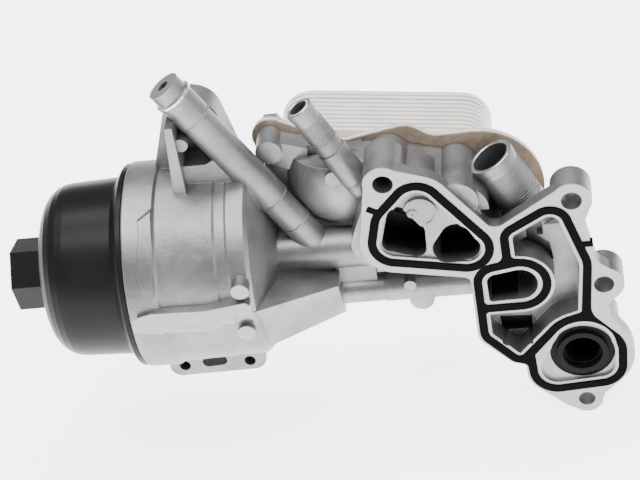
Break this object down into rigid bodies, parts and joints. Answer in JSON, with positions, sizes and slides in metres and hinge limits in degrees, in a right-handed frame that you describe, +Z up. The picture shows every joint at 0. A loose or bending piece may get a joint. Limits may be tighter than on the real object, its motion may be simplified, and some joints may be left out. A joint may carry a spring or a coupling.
{
  "type": "oil filter housing",
  "caption": "Engine oil filter housing in cast aluminium with a black screw cap, paper cartridge, hose stubs, sealed flange and a plate oil cooler behind.",
  "frame": {"origin": "centre of the round oil port, on the flange face", "axes": "-Y out of the flange face towards the engine, +X along the filter barrel from its cap to the flange, +Z up"},
  "size_m": [0.2618, 0.1003, 0.1815],
  "materials": {
    "cast_aluminium": "satin",
    "black_plastic": "satin",
    "black_rubber": "matte",
    "steel": "satin",
    "brazed_sheet": "satin",
    "cooler_aluminium": "satin",
    "filter_paper": "matte",
    "green_rubber": "matte"
  },
  "bodies": {
    "casting": {"housing": "cast_aluminium", "triangle_seal": "black_rubber", "three_port_seal": "black_rubber", "port_sleeve": "black_plastic", "gallery_plug": "steel", "plug_washer": "steel", "cooler_base_plate": "brazed_sheet", "cooler_flange_plate": "cooler_aluminium", "cooler_core": "cooler_aluminium", "cooler_port_rings": "black_rubber", "cooler_bolts": "steel", "standpipe": "steel", "bypass_seat": "steel", "bypass_spring": "steel", "bypass_retainer": "steel", "drainback_cage": "black_plastic", "drainback_spring": "steel"},
    "cartridge": {"filter_pleats": "filter_paper", "filter_inner_core": "black_plastic", "filter_front_disc": "green_rubber", "filter_rear_disc": "green_rubber", "rear_disc_seal": "black_rubber"},
    "cap": {"screw_cap": "black_plastic", "cap_seal_ring": "green_rubber", "cap_catch": "black_plastic"},
    "bypass_valve": {"bypass_poppet": "steel"},
    "drainback_valve": {"drainback_disc": "black_rubber"}
  },
  "joints": [
    {"name": "cartridge_slide", "type": "slide", "parent": "casting", "child": "cartridge", "axis": [-1, 0, 0], "range_m": [0, 0.015]},
    {"name": "cap_turn", "type": "hinge", "parent": "cartridge", "child": "cap", "pos_m": [-0.2, 0.015, 0.0566], "axis": [-1, 0, 0], "range_deg": [0, 1800]},
    {"name": "bypass_lift", "type": "slide", "parent": "casting", "child": "bypass_valve", "axis": [1, 0, 0], "range_m": [0, 0.0035], "stiffness_N_per_m": 3000, "springref_m": -0.003, "deforming": ["bypass_spring"]},
    {"name": "drainback_lift", "type": "slide", "parent": "casting", "child": "drainback_valve", "axis": [1, 0, 0], "range_m": [0, 0.003], "stiffness_N_per_m": 150, "springref_m": -0.002, "deforming": ["drainback_spring"]}
  ],
  "couplings": [
    {"joint": "cartridge_slide", "follows": "cap_turn", "m_per_rad": 0.00047746}
  ]
}
